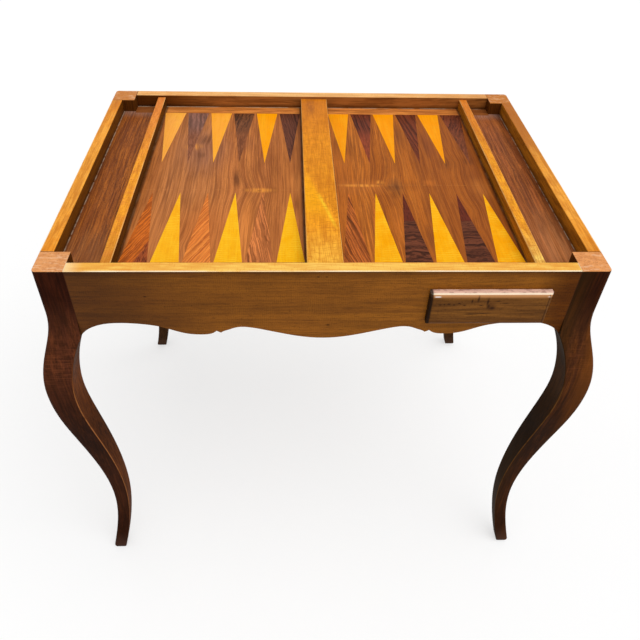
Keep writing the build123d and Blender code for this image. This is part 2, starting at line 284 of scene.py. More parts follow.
def dress(material, *nodes):
    """Gives CAD nodes a material."""
    for node in nodes:
        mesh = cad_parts[node].data
        mesh.materials.clear()
        mesh.materials.append(material)


def rim_mask(tree, axes):
    """1 on the flat top of the frame, and 0 a little below it."""
    return ramp(tree, axes["z"], rim_z - 1.1 * MM, rim_z - 0.3 * MM)


def spots(tree, axes, places, colour, strength):
    """Small dark marks on an upright face: X, depth below the rim, and width and height in millimetres."""
    layers = []
    for x, below, across, down in places:
        wide, tall = across * MM / 2, down * MM / 2
        layers.append(laid(
            tree, colour, span(tree, axes["x"], x - wide, x + wide, wide),
            span(tree, axes["z"], rim_z - below - tall, rim_z - below + tall, tall), strength,
        ))
    return layers


# Frame: waxed cherry, which gives warm brown faces with soft rings and a dull gleam. Hands have bleached
# and polished the rail tops, a darker band lies under the rim, and the wood inside is bare. The tops are
# also painted lighter than the upright faces as painted light from above, the arrises carry a painted
# highlight, and the well's walls carry painted light and shade, darkest where they meet its floor.

def rail_marks(axis, sign, outer, inner, end, top, top_dark, top_light, arris, well, crack="#3A1C0C",
               shades=(), pits=(), well_shades=(), top_shades=()):
    """The marks on one apron: bleached top, painted highlight on the arris, dark rim band, joints, bare back
    with painted shade.
    """

    def marks(tree, axes, plain, log):
        height = axes["z"]
        depth = product(tree, axes[axis], sign)
        lengthwise = axes["y" if axis == "x" else "x"]
        beyond = add(tree, "ShaderNodeMath", {0: lengthwise}, operation="ABSOLUTE").outputs[0]
        is_top = rim_mask(tree, axes)
        rim_band = span(tree, height, rim_z - 6 * MM, rim_z, 9 * MM)
        below_rim = span(tree, height, rim_z - 3.2 * MM, rim_z - 1.4 * MM, 1 * MM)
        handled = span(tree, lengthwise, -0.20, 0.16, 0.10)
        is_inside = ramp(tree, depth, inner + 0.5 * MM, inner)
        in_well = product(tree, is_inside, ramp(tree, height, playing_z - 4 * MM, playing_z - 3 * MM))
        under_well = product(tree, is_inside, ramp(tree, height, playing_z - 3 * MM, playing_z - 4 * MM))
        well_corner_shade = ramp(tree, height, playing_z + 8 * MM, playing_z)
        fine = patches(tree, log, 2.2, 0.45, 0.6, 21, stretch=(3, 1, 1))
        broad = patches(tree, log, 8, 0.45, 0.6, 27, stretch=(0.6, 1, 1))
        worn = patches(tree, plain, 24, 0.45, 0.62, 22)
        scuffs = patches(tree, plain, 1.6, 0.56, 0.66, 24, stretch=(1, 9, 1) if axis == "y" else (9, 1, 1))
        dirt = patches(tree, plain, 2.2, 0.66, 0.72, 25)
        patchy = patches(tree, plain, 40, 0.25, 0.6, 23, stretch=(2, 1, 1))
        arris_highlight = span(tree, depth, outer - 1.6 * MM, outer + 1 * MM, 0.7 * MM)
        joint = span(tree, beyond, end - 1 * MM, end + 1 * MM, 0.5 * MM)
        return [
            # A darker band over the top of each apron, and a darker line just under the rim.
            laid(tree, "#4A2C18", rim_band, 0.52, way="MULTIPLY"),
            laid(tree, "#241208", below_rim, 0.5),
            *graded(tree, axes, shades),
            *spots(tree, axes, pits, "#1E0E06", 0.8),
            laid(tree, well, in_well),
            *graded(tree, axes, well_shades, in_well),
            laid(tree, "#5E2E0C", in_well, broad, 0.4),
            laid(tree, "#3E200A", in_well, fine, 0.35),
            # Painted shade at the foot of the well's walls, where they meet the playing floor.
            laid(tree, "#2C170A", in_well, well_corner_shade, 0.6),
            laid(tree, "#A4825A", under_well),
            laid(tree, "#7E5E3A", under_well, broad, 0.5),
            laid(tree, "#6A4C2C", under_well, fine, 0.5),
            laid(tree, "#4E3620", under_well, dirt, 0.6),
            # The tops: bleached and polished by hands, and painted lighter than the upright faces as painted
            # light from above.
            laid(tree, top, is_top),
            laid(tree, top_light, is_top, handled, 0.6),
            laid(tree, top_light, is_top, worn, 0.5),
            laid(tree, top_dark, is_top, broad, 0.45),
            laid(tree, top_dark, is_top, fine, 0.4),
            laid(tree, top_dark, is_top, scuffs, 0.4),
            laid(tree, "#6A3A14", is_top, dirt, 0.5),
            # A painted highlight along the rounded arris, with some wear, broken up in patches.
            laid(tree, arris, is_top, arris_highlight, patchy, 0.9),
            laid(tree, "#3A1C0C", joint, 0.75),
            laid(tree, crack, joint, is_top, 0.8),
            *graded(tree, axes, top_shades, is_top),
        ]

    return marks


cherry = dict(light="#94591C", dark="#643A14", streak="#462810", warm="#AC6C1E", rings=(19, 0.15),
              lines=(7, 0.18, 0.5), hairs=0.35, pores=0.5, streaks=(16, 0.3), glow=(30, 0.4), clouds=0.5,
              grime=0.4, sway=(90, 12), pith=(60, 40), curl=(3, 0.15), run=0.09, relief=0.06)
# The sides and back are a little browner than the front.
brown_cherry = dict(cherry, light="#834E1C", dark="#5A3414", warm="#96601E")
front_pits = (
    (-0.2535, 0.046, 3, 2), (-0.011, 0.010, 3, 2), (0.001, 0.010, 2.4, 2), (0.006, 0.103, 5, 3),
    (-0.19, 0.064, 1.6, 1.2), (-0.05, 0.075, 2, 1), (0.075, 0.052, 1.6, 1.2), (-0.12, 0.09, 2, 1),
)
long_rail = dict(axis="y", outer=-rail_front_y, inner=wall_y, end=post_x)
short_rail = dict(axis="x", outer=half_length, inner=wall_x, end=post_y, top="#EC9024", top_dark="#B8661A",
                  top_light="#FCB44A", arris="#F8C884")
# Each rail's colour in the well (well, well_shades) differs from wall to wall as painted light and shade on
# the same bare wood.
rails = {
    "front": dict(
        long_rail, sign=-1, top="#F6B850", top_dark="#DE8E34", top_light="#FFD468", arris="#FFF2D6",
        well="#7E4A12", crack="#F4D8A8", pits=front_pits, top_shades=(("x", -0.33, -0.36, 0.5, "#FFE8BC"),),
        shades=(("x", -0.12, -0.34, 1, "#AEA6AE", "MULTIPLY"), ("x", -0.12, -0.34, 0.2, "#4E3626"),
                ("x", 0.29, 0.35, 1, "#B09C70", "MULTIPLY")),
    ),
    "back": dict(
        long_rail, sign=1, top="#F4B46C", top_dark="#D08C4A", top_light="#FCCA86", arris="#F8D4A4",
        well="#AE6C32", well_shades=(("x", -0.17, -0.32, 0.95, "#602E04"),),
        top_shades=(("x", 0.20, 0.34, 0.5, "#CC8A4A"),),
    ),
    "left": dict(short_rail, sign=-1, well="#7E4A12", top_shades=(("y", 0.16, 0.25, 0.35, "#AC6428"),)),
    "right": dict(short_rail, sign=1, well="#B8761E", top_shades=(("y", -0.06, 0.16, 0.85, "#AC6428"),)),
}
for side, order, seed, timber in (
    ("front", "xyz", 1, cherry), ("back", "xyz", 2, brown_cherry),
    ("left", "yxz", 3, brown_cherry), ("right", "yxz", 5, brown_cherry),
):
    dress(wood("waxed_cherry_" + side, order, seed=seed, marks=rail_marks(**rails[side]), **timber),
          "apron_" + side)


def leg_marks(inner, arris, top, knee_highlight, shades=()):
    """A post's end grain on top, its bare faces in the well, and the leg's inner faces, knee and arris in
    painted light and shade.
    """

    def marks(tree, axes, plain, log):
        height = axes["z"]
        is_top = rim_mask(tree, axes)
        patchy = patches(tree, plain, 9, 0.42, 0.6, 31)
        speckle = patches(tree, plain, 2.4, 0.5, 0.66, 33)
        pale = patches(tree, plain, 4, 0.5, 0.64, 35, stretch=(4, 1, 1))
        fine = patches(tree, log, 2.2, 0.45, 0.6, 37, stretch=(3, 1, 1))
        ripples = patches(tree, plain, 5, 0.45, 0.62, 38, stretch=(6, 6, 0.5))
        rubbed = patches(tree, plain, 30, 0.25, 0.5, 39)
        normal = add(tree, "ShaderNodeNewGeometry").outputs["Normal"]
        face = add(tree, "ShaderNodeSeparateXYZ", {0: normal}).outputs
        turned = []
        for place, axis in enumerate("xy"):
            side = add(tree, "ShaderNodeMath", {0: axes[axis]}, operation="SIGN").outputs[0]
            turned.append(product(tree, face[place], side))
        towards = add(tree, "ShaderNodeMath", {0: turned[0], 1: turned[1]}, operation="MINIMUM").outputs[0]
        inward = ramp(tree, towards, -0.3, -0.9)
        between = ramp(tree, product(tree, *turned), -0.26, -0.44)
        in_well = product(tree, inward, ramp(tree, height, playing_z - 6 * MM, playing_z - 4 * MM))
        post = ramp(tree, height, 0.62, 0.70)
        shade_under_apron = ramp(tree, height, 0.50, 0.60)
        knee = span(tree, height, 0.53, 0.61, 0.03)
        below_knee = ramp(tree, height, 0.57, 0.47)
        shin = ramp(tree, height, 0.58, 0.44)
        mid_shin = span(tree, height, 0.30, 0.44, 0.08)
        ankle = ramp(tree, height, 0.16, 0.06)
        above_toe = ramp(tree, height, 0.03, 0.18)
        toe = ramp(tree, height, 0.05, 0.0)
        return [
            laid(tree, "#A8948C", post, way="MULTIPLY"),
            # A reddish painted highlight on the knee, broken into ripples of figure.
            laid(tree, "#7A4228", knee, ripples, knee_highlight),
            # The leg's inner faces in painted light and shade, darkest under the apron as painted shade, with
            # grain over them.
            laid(tree, inner, inward, 0.7),
            laid(tree, "#24140A", inward, fine, 0.55),
            laid(tree, "#20120A", inward, shade_under_apron, 0.75),
            *graded(tree, axes, shades),
            laid(tree, "#CCC8B8", shin, way="MULTIPLY"),
            laid(tree, "#C8C8C0", mid_shin, way="MULTIPLY"),
            laid(tree, "#DCD8D4", ankle, way="MULTIPLY"),
            laid(tree, "#6A5248", toe, 0.22),
            # A painted highlight along the arris between the front and inner faces, with wear, broken up in
            # patches.
            laid(tree, arris, between, below_knee, rubbed, above_toe, 0.75),
            laid(tree, "#63360F", in_well),
            laid(tree, "#3A1C08", in_well, fine, 0.5),
            laid(tree, top, is_top),
            laid(tree, "#BE7646", is_top, patchy, 0.4),
            laid(tree, "#8E5230", is_top, speckle, 0.35),
            laid(tree, "#FAD0A8", is_top, pale, 0.4),
        ]

    return marks


# Legs: the same cherry under a dark stain, which hides most of the grain and leaves a nearly matt red
# brown, with pale end grain on the posts. Each leg has its stain, its brighter streaks, and its marks.
# The inner faces, knee and arris carry painted light and shade, and the back legs are stained a little
# lighter as painted light.
stained_cherry = dict(dark="#361C0E", streak="#22120A", rings=(16, 0.35), lines=(6, 0.3, 0.5), pith=(45, 30),
                      hairs=0.4, streaks=(6, 0.45), curl=(4.2, 0.12), clouds=0.35, glow=(9, 0.5),
                      roughness=0.55, shine=0.015)
legs = {
    "front_left": ("#522A1A", "#723C20", dict(inner="#8A4A1A", arris="#A4683A", top="#E49E64", knee_highlight=0.3)),
    "front_right": ("#532E18", "#784218", dict(
        inner="#3E2606", arris="#6A4420", top="#E89E60", knee_highlight=0.15,
        # Painted shade on the left of the front face and painted light on its right.
        shades=(("x", 0.386, 0.362, 0.45, "#302008"), ("x", 0.392, 0.412, 0.3, "#8E5018")))),
    "back_left": ("#54341C", "#6A4422", dict(inner="#6A4626", arris="#4E3018", top="#CC8446", knee_highlight=0.3)),
    "back_right": ("#54341C", "#6A4422", dict(inner="#6A4626", arris="#4E3018", top="#C47A34", knee_highlight=0.3)),
}
for number, (corner, (light, warm, marks)) in enumerate(legs.items()):
    dress(wood("stained_cherry_leg_" + corner, "zxy", light=light, warm=warm, seed=11 + number,
               marks=leg_marks(**marks), **stained_cherry), "leg_" + corner)


# Playing well

def top_and_sides(top_z, edges, top, top_dark, front, tip, scuff_stretch, bright=None):
    """A bar's polished top with worn edges that carry a painted highlight, over its darker sides, and perhaps
    a bright line on it.
    """

    def marks(tree, axes, plain, log):
        is_top = ramp(tree, axes["z"], top_z - 2.4 * MM, top_z - 1.2 * MM)
        broad = patches(tree, log, 10, 0.45, 0.6, 41, stretch=(0.7, 1, 1))
        fine = patches(tree, log, 1.8, 0.45, 0.6, 43, stretch=(1.5, 1, 1))
        mottle = patches(tree, plain, 15, 0.42, 0.6, 45, stretch=(1.4, 1, 1))
        scuffs = patches(tree, plain, 1.5, 0.55, 0.65, 46, stretch=(scuff_stretch, 1, 1))
        dirt = patches(tree, plain, 1.8, 0.66, 0.73, 47)
        rubbed = patches(tree, plain, 30, 0.3, 0.55, 48, stretch=(1, 2, 1))
        layers = [
            laid(tree, top, is_top),
            laid(tree, front, is_top, ramp(tree, axes["y"], 0.28, -0.06)),
            laid(tree, tip, is_top, ramp(tree, axes["y"], -0.16, -0.26)),
            laid(tree, top, is_top, mottle, 0.35),
            laid(tree, top_dark, is_top, broad, 0.3),
            laid(tree, top_dark, is_top, fine, 0.4),
        ]
        if bright:
            layers += flame(tree, axes, plain, is_top, bright)
        layers += [
            laid(tree, top_dark, is_top, scuffs, 0.55),
            laid(tree, "#6A3608", is_top, dirt, 0.7),
        ]
        # A painted highlight along the worn top edges, broken up in patches.
        for edge in edges:
            worn = span(tree, axes["x"], edge - 0.8 * MM, edge + 0.8 * MM, 0.6 * MM)
            layers.append(laid(tree, "#FFD080", is_top, worn, rubbed, 0.65))
        return layers

    return marks


def flame(tree, axes, plain, is_top, bright):
    """A bright slanting line on the centre bar, its glow and dark ticks, and a darker patch at the back end.
    """
    lean = product(tree, axes["y"], 0.25)
    slant = add(tree, "ShaderNodeMath", {0: lean, 1: axes["x"]}, operation="ADD").outputs[0]
    loose = patches(tree, plain, 10, 0.3, 0.55, 49, stretch=(1, 2, 1))
    ticks = patches(tree, plain, 1.6, 0.5, 0.6, 50, stretch=(3, 1, 1))
    ahead = span(tree, axes["y"], -0.17, -0.09, 0.02)
    glow = product(tree, ramp(tree, slant, -0.021, -0.030), span(tree, axes["y"], -0.14, -0.04, 0.04))
    line = product(tree, span(tree, slant, -0.0265, -0.0225, 0.003), ahead, loose)
    shade = product(tree, span(tree, slant, -0.018, -0.006, 0.005), ahead, ticks)
    right = product(tree, ramp(tree, slant, -0.021, -0.009), span(tree, axes["y"], -0.10, 0.02, 0.06))
    dark_back_patch = product(
        tree, span(tree, axes["x"], -0.015, 0.0, 0.004), span(tree, axes["y"], 0.20, 0.264, 0.02),
        patches(tree, plain, 5, 0.3, 0.55, 51, stretch=(1, 4, 1)),
    )
    return [
        # A darker patch at the bar's back end, by the wall.
        laid(tree, "#9A5420", is_top, dark_back_patch, 0.6),
        laid(tree, "#C06E16", is_top, right, 0.35),
        laid(tree, "#FFB20E", is_top, glow, 0.6),
        laid(tree, "#B86A14", is_top, shade, 0.8),
        laid(tree, bright, is_top, line, 0.9),
    ]


# Bars: cherry, rubbed and polished on top by years of play, which gives a bright honey top with scuffs
# across it over dark sides. The sides and worn edges also carry painted shade, light and highlights.
bar_marks = top_and_sides(bar_top_z, (-bar_x, bar_x), "#D47C1C", "#B46010", "#FCA624", "#FFBE44",
                          scuff_stretch=9, bright="#FFD030")
dress(wood("polished_cherry_bar", "yxz", light="#7A4A1C", dark="#55300F", streak="#3A200C", warm="#8A5420",
           seed=21, marks=bar_marks), "centre_bar")
# The separators' sides are painted shade and light: dark on the left one, as in shade, and lighter on the
# right one, as lit.
for hand, seed, edges, side, side_dark, top, front, tip in (
    ("left", 23, (-separator_in_x,), "#6E4212", "#4A2A0C", "#E8883C", "#FFAA30", "#D88E32"),
    ("right", 26, (separator_in_x, separator_out_x), "#CC8220", "#865410", "#DE8028", "#FFAE2C", "#FFD468"),
):
    marks = top_and_sides(separator_top_z, edges, top, "#AC5A10", front, tip, scuff_stretch=4)
    dress(wood("polished_cherry_separator_" + hand, "yxz", light=side, dark=side_dark, streak="#301808",
               warm=side, seed=seed, marks=marks), "separator_" + hand)


def blot(tree, plain, x, y, across, deep):
    """A soft round mask on the well's floor, given by its place and half its size in millimetres."""
    offset = add(tree, "ShaderNodeVectorMath", {0: plain, 1: (x, y, 0)}, operation="SUBTRACT")
    scale = (1 / (across * MM), 1 / (deep * MM), 0)
    flat = add(tree, "ShaderNodeVectorMath", {0: offset.outputs[0], 1: scale}, operation="MULTIPLY")
    away = add(tree, "ShaderNodeVectorMath", {0: flat.outputs[0]}, operation="LENGTH")
    return ramp(tree, away.outputs["Value"], 1.3, 0.2)


def well_floor_marks(fold=None, tones=(), glints=(), smudges=(), clouds=()):
    """Dust and painted shade at the feet of walls and bars, tones and clouds, a field's joint, glints and
    smudges.
    """

    def marks(tree, axes, plain, log):
        grey = patches(tree, plain, 10, 0.42, 0.58, 55, stretch=(1, 3, 1))
        sandy = patches(tree, plain, 12, 0.35, 0.6, 51, stretch=(3, 1, 1))
        fine = patches(tree, log, 2.2, 0.46, 0.62, 58, stretch=(2, 1, 1))
        faint = patches(tree, log, 7, 0.45, 0.62, 60)
        beyond = add(tree, "ShaderNodeMath", {0: axes["x"]}, operation="ABSOLUTE").outputs[0]
        bar_foot = span(tree, beyond, bar_x - 1 * MM, bar_x + 3 * MM, 1.2 * MM)
        separator_foot = span(tree, beyond, separator_in_x - 4 * MM, separator_out_x + 4 * MM, 2 * MM)
        shadow_and_dust_at_feet = add(
            tree, "ShaderNodeMath", {0: bar_foot, 1: separator_foot}, operation="MAXIMUM",
        ).outputs[0]
        shade_near_wall = ramp(tree, beyond, wall_x - 9 * MM, wall_x)
        wall = span(tree, beyond, wall_x - 1.8 * MM, wall_x + 5 * MM, 0.6 * MM)
        back = span(tree, axes["y"], wall_y - 2.8 * MM, wall_y + 5 * MM, 1.0 * MM)
        layers = graded(tree, axes, tones)
        for *place, strength, colour in clouds:
            layers.append(laid(tree, colour, blot(tree, plain, *place), strength))
        layers += [
            laid(tree, "#763A18", faint, 0.34),
            laid(tree, "#5A2A12", fine, 0.36),
            # Painted shade near the side walls, and a painted shadow with some dust at the feet of the bar
            # and separators.
            laid(tree, "#3A2012", shade_near_wall, 0.35),
            laid(tree, "#34190A", shadow_and_dust_at_feet, 0.75),
            laid(tree, "#8A6C50", shadow_and_dust_at_feet, grey, 0.25),
            laid(tree, "#B9A48E", wall, sandy, 0.6),
            # Painted shade along the foot of the back wall, with dust over it.
            laid(tree, "#4A2A14", back, 0.5),
            laid(tree, "#BCA890", back, sandy, 0.65),
        ]
        if fold is None:
            return layers
        joint = span(tree, axes["y"], fold - 0.6 * MM, fold + 0.6 * MM, 0.8 * MM)
        layers.append(laid(tree, "#E8A050", joint, grey, 0.22))
        feather = patches(tree, log, 5, 0.35, 0.6, 57, stretch=(2, 1, 1))
        for colour, strength, places in (("#F09A3C", 0.75, glints), ("#4A2614", 0.6, smudges)):
            for place in places:
                layers.append(laid(tree, colour, blot(tree, plain, *place), feather, strength))
        return layers

    return marks


# Playing fields: walnut veneer, two matched leaves to a field, which gives orange brown with long dark
# lines that turn round knots and meet at a joint. A glint or smudge has its place and half its size, and
# a cloud also a strength and a colour.
walnut = dict(streak="#66301A", rings=(34, 0.1), lines=(9, 0.26, 0.5), stray=14, hairs=0.4, pores=0.45,
              streaks=(20, 0.4), glow=(9, 0.4), clouds=0.25, grime=0.3, sway=(110, 8), ripple=(90, 0.8),
              run=0.045, pith=(120, 60))
leaves = {
    "left": dict(light="#D88444", dark="#9A5428", warm="#F49C4C", seed=31, fold=-0.045, tilt=1,
                 bends=((0, -0.112, 0.070, 0.014), (0.155, -0.216, 0.045, -0.008))),
    "right": dict(light="#DE7E28", dark="#783A14", warm="#F4943A", seed=33, fold=-0.028, tilt=-1,
                  bends=((0, 0.112, 0.065, -0.012), (0.075, 0.245, 0.050, 0.008))),
}
field_marks = {
    "left": dict(
        tones=(("x", -0.10, -0.05, 0.6, "#A8602A"), ("x", -0.14, -0.22, 0.3, "#B0784A"),
               ("x", -0.25, -0.285, 0.45, "#A85A1C"), ("y", -0.03, -0.14, 0.35, "#D88444")),
        glints=((-0.100, -0.046, 26, 8), (-0.226, 0.100, 16, 14)),
        smudges=((-0.205, 0.128, 16, 20), (-0.212, 0.070, 12, 12), (-0.140, -0.012, 10, 30),
                 (-0.100, -0.047, 4, 3)),
        clouds=((-0.205, 0.090, 48, 95, 0.5, "#8C6050"), (-0.190, -0.160, 45, 80, 0.4, "#BE6426"),
                (-0.205, -0.040, 45, 34, 0.4, "#DC8C50"), (-0.038, -0.030, 16, 50, 0.85, "#D88440"),
                (-0.117, -0.150, 11, 90, 0.6, "#EA8E42"), (-0.071, -0.160, 9, 60, 0.35, "#8A4A22"),
                (-0.130, 0.115, 12, 36, 0.6, "#8A5030"), (-0.075, -0.045, 8, 12, 0.5, "#8E5024"),
                (-0.075, 0.030, 10, 50, 0.3, "#884C22")),
    ),
    "right": dict(
        tones=(("x", 0.08, 0.04, 0.4, "#C8702A"), ("x", 0.13, 0.20, 0.6, "#904C1E"),
               ("y", -0.04, -0.20, 0.15, "#A0541C")),
        glints=((0.106, -0.020, 8, 8), (0.072, -0.030, 38, 5)),
        smudges=((0.106, -0.026, 7, 4), (0.124, -0.036, 17, 12), (0.129, -0.056, 9, 16),
                 (0.236, 0.048, 16, 26), (0.272, 0.054, 12, 18)),
        clouds=((0.070, -0.034, 54, 26, 0.5, "#D47C34"), (0.192, -0.020, 13, 11, 0.6, "#CC722A"),
                (0.122, -0.130, 10, 65, 0.55, "#D87A2C"), (0.277, -0.036, 20, 34, 0.5, "#CC7A34"),
                (0.050, 0.105, 30, 62, 0.45, "#7E4414"), (0.160, 0.150, 12, 50, 0.6, "#7A4420"),
                (0.208, 0.110, 12, 50, 0.5, "#804428"), (0.132, -0.030, 16, 26, 0.6, "#7A4A28"),
                (0.160, -0.030, 14, 18, 0.4, "#8E4A1C"), (0.167, -0.185, 10, 42, 0.6, "#7A4220")),
    ),
}
for hand, leaf in leaves.items():
    marks = well_floor_marks(leaf["fold"], **field_marks[hand])
    dress(wood("walnut_veneer_" + hand, "yxz", marks=marks, **leaf, **walnut), "field_veneer_" + hand)

# Checker troughs: plainer and darker walnut with close straight grain, open pores and old dust.
for hand, light, dark, warm, front, seed in (
    ("left", "#C4702A", "#7E4426", "#E0842A", (-0.12, -0.22, 0.55, "#96603A"), 35),
    ("right", "#BC6A36", "#824A2A", "#D27C32", (-0.05, -0.20, 0.45, "#D28A54"), 38),
):
    marks = well_floor_marks(tones=(("y", *front), ("y", 0.21, 0.245, 0.5, "#A88A7C")))
    dress(wood("walnut_trough_" + hand, "yxz", light=light, dark=dark, streak="#44221A", warm=warm, seed=seed,
               rings=(14, 0.25), lines=(7, 0.3, 0.45), stray=10, hairs=0.6, pores=0.65, streaks=(11, 0.5),
               glow=(9, 0.5), clouds=0.4, grime=0.5, pith=(90, 50), ripple=(60, 1.0), run=0.07, marks=marks),
          "trough_veneer_" + hand)

# Border strips: pale sapwood of walnut, which gives a light orange line at both ends of the fields. They
# are darker in the troughs.
border_tones = (
    ("x", separator_in_x - 2 * MM, separator_out_x + 6 * MM, 0.8, "#74401F"),
    ("x", -separator_in_x + 2 * MM, -separator_out_x - 6 * MM, 0.8, "#74401F"),
)
dress(wood("walnut_border", "xyz", light="#F6984A", dark="#BC6C2E", streak="#7E441A", warm="#FFAC52", seed=41,
           rings=(10, 0.35), lines=(5, 0.3, 0.5), pith=(80, 30), marks=well_floor_marks(tones=border_tones)),
      "border_strips_back", "border_strips_front")

# Inlaid points, each cut from its own piece of veneer. Boxwood for the light ones, which gives a clear
# yellow with almost no figure, and rosewood for the dark ones, which gives purple brown with black
# lines. The rosewood's grain lies every way: tilt from the point's own line, gap of the dark lines and
# how far they ripple in millimetres, and ground, line and shadow colours.
boxwoods = {
    "back_left_1": "#FFAE4C", "back_left_3": "#FFAA3A", "back_left_5": "#FFA000",
    "back_right_1": "#FF9A00", "back_right_3": "#FF9A00", "back_right_5": "#FF9C00",
    "front_left_2": "#FFBC20", "front_left_4": "#FFC01A", "front_left_6": "#FFBC0C",
    "front_right_2": "#FFB000", "front_right_4": "#FFB000", "front_right_6": "#FFAC00",
}
rosewoods = {
    "back_left_2": (4, 9, 1.5, "#A67260", "#744E42", "#4E342A"),
    "back_left_4": (-8, 7, 2.5, "#86502F", "#4A2A1C", "#22120C"),
    "back_left_6": (8, 6, 1.2, "#7E4630", "#462418", "#1C0E08"),
    "back_right_2": (6, 9, 0.8, "#843E28", "#3A1C12", "#20100A"),
    "back_right_4": (10, 9, 0.8, "#8A4024", "#542614", "#2C140C"),
    "back_right_6": (-16, 8, 2.5, "#8E4628", "#481E12", "#240E08"),
    "front_left_1": (-23, 4.6, 0.8, "#F07E28", "#A8501E", "#5E2A10"),
    "front_left_3": (-26, 4.6, 0.8, "#FA9642", "#D8702E", "#984A1E"),
    "front_left_5": (9, 5.5, 0.8, "#FF9850", "#A86036", "#461E0A"),
    "front_right_1": (14, 6.0, 0.8, "#E47C34", "#964C24", "#3E1C0A"),
    "front_right_3": (90, 11, 3.5, "#80462E", "#3A1E16", "#180C08"),
    "front_right_5": (90, 11, 3.5, "#80462E", "#3A1E16", "#180C08"),
}


def ragged_place(tree, plain, place, size, reach):
    """A place along an axis, made ragged over patches of that size, by that reach, in millimetres."""
    ragged = add(tree, "ShaderNodeTexNoise", {"Vector": plain, "Scale": 1 / (size * MM), "Detail": 2.0})
    shift = product(tree, ragged.outputs["Fac"], reach * MM)
    return add(tree, "ShaderNodeMath", {0: shift, 1: place}, operation="ADD").outputs[0]


def red_tip(tree, axes, plain, log):
    """The last third of a dark point, where a redder piece of rosewood is let in."""
    lines = patches(tree, plain, 2, 0.45, 0.6, 61, stretch=(1, 8, 1))
    tip = ramp(tree, ragged_place(tree, plain, axes["y"], 9, 12), -0.129, -0.125)
    return [laid(tree, "#6A2C1C", tip, 0.95), laid(tree, "#401C10", tip, lines, 0.6)]


def thin_end(colour, strength):
    """The thin end of a dark back point, bleached nearly to the walnut's own brown or redder."""

    def marks(tree, axes, plain, log):
        lines = patches(tree, plain, 2.4, 0.42, 0.6, 62, stretch=(1, 7, 1))
        tip = ramp(tree, axes["y"], 0.19, 0.125)
        return [laid(tree, colour, tip, strength), laid(tree, "#4E2412", tip, lines, 0.5)]

    return marks


def dark_corner(tree, axes, plain, log):
    """The lower right part of a dark point, where a darker piece with upright grain is let in."""
    lines = patches(tree, plain, 1.8, 0.45, 0.6, 63, stretch=(1, 9, 1))
    slope = product(tree, axes["y"], 0.27)
    across = add(tree, "ShaderNodeMath", {0: axes["x"], 1: slope}, operation="SUBTRACT").outputs[0]
    part = ramp(tree, ragged_place(tree, plain, across, 12, 8), -0.209, -0.205)
    return [laid(tree, "#94482A", part, 0.8), laid(tree, "#4A1E12", part, lines, 0.8)]


# The dark points that have a second piece let in, or a bleached end
pieced = {
    "back_left_2": thin_end("#A05C34", 0.6), "back_left_4": thin_end("#A05C34", 0.6),
    "back_right_2": thin_end("#A84E2E", 0.65), "back_right_6": thin_end("#A05A34", 0.35),
    "front_right_3": red_tip, "front_right_5": red_tip, "front_left_1": dark_corner,
}
seed = 50
for field in ("left", "right"):
    for row, curl in (("back", 0.15), ("front", 0.7)):
        for number in range(1, 7):
            seed += 1
            place = f"{row}_{field}_{number}"
            if place in rosewoods:
                tilt, gap, reach, ground, line, shadow = rosewoods[place]
                material = wood(
                    "rosewood_" + place, "yxz", light=ground, dark=line, streak=shadow, warm=ground,
                    seed=seed, rings=(gap * 5, 0.2), lines=(gap, 0.8, 0.5), stray=12, hairs=0.6, pores=0.3,
                    streaks=(8, 0.5), glow=(6, 0.5), clouds=0.4, pith=(140, 20), tilt=tilt,
                    ripple=(20, reach), sway=(90, 4), run=0.06, roughness=0.3, marks=pieced.get(place))
            else:
                material = wood(
                    "boxwood_" + place, "yxz", light=boxwoods[place], dark="#F09404", streak="#DC8204",
                    warm="#FFCC30", seed=seed, rings=(14, 0.2), lines=(5, 0.12, 0.5), hairs=0.15,
                    pores=0.25, streaks=(10, 0.15), glow=(10, 0.15), clouds=0.15, curl=(4.5, curl),
                    roughness=0.3, shine=0.02)
            dress(material, "point_" + place)

# Out of sight: planed and unfinished pine and beech, which give pale, matt, straight grain.
dress(wood("bare_pine", "xyz", light="#B58C5A", dark="#8E6638", streak="#6E4C28", warm="#C09058", seed=71,
           roughness=0.62), "floor_board")
dress(wood("bare_beech", "yxz", light="#A87C4C", dark="#84602F", streak="#604222", warm="#B08850", seed=73,
           roughness=0.62), "bearer_centre", "bearer_left", "runner_left", "runner_right")


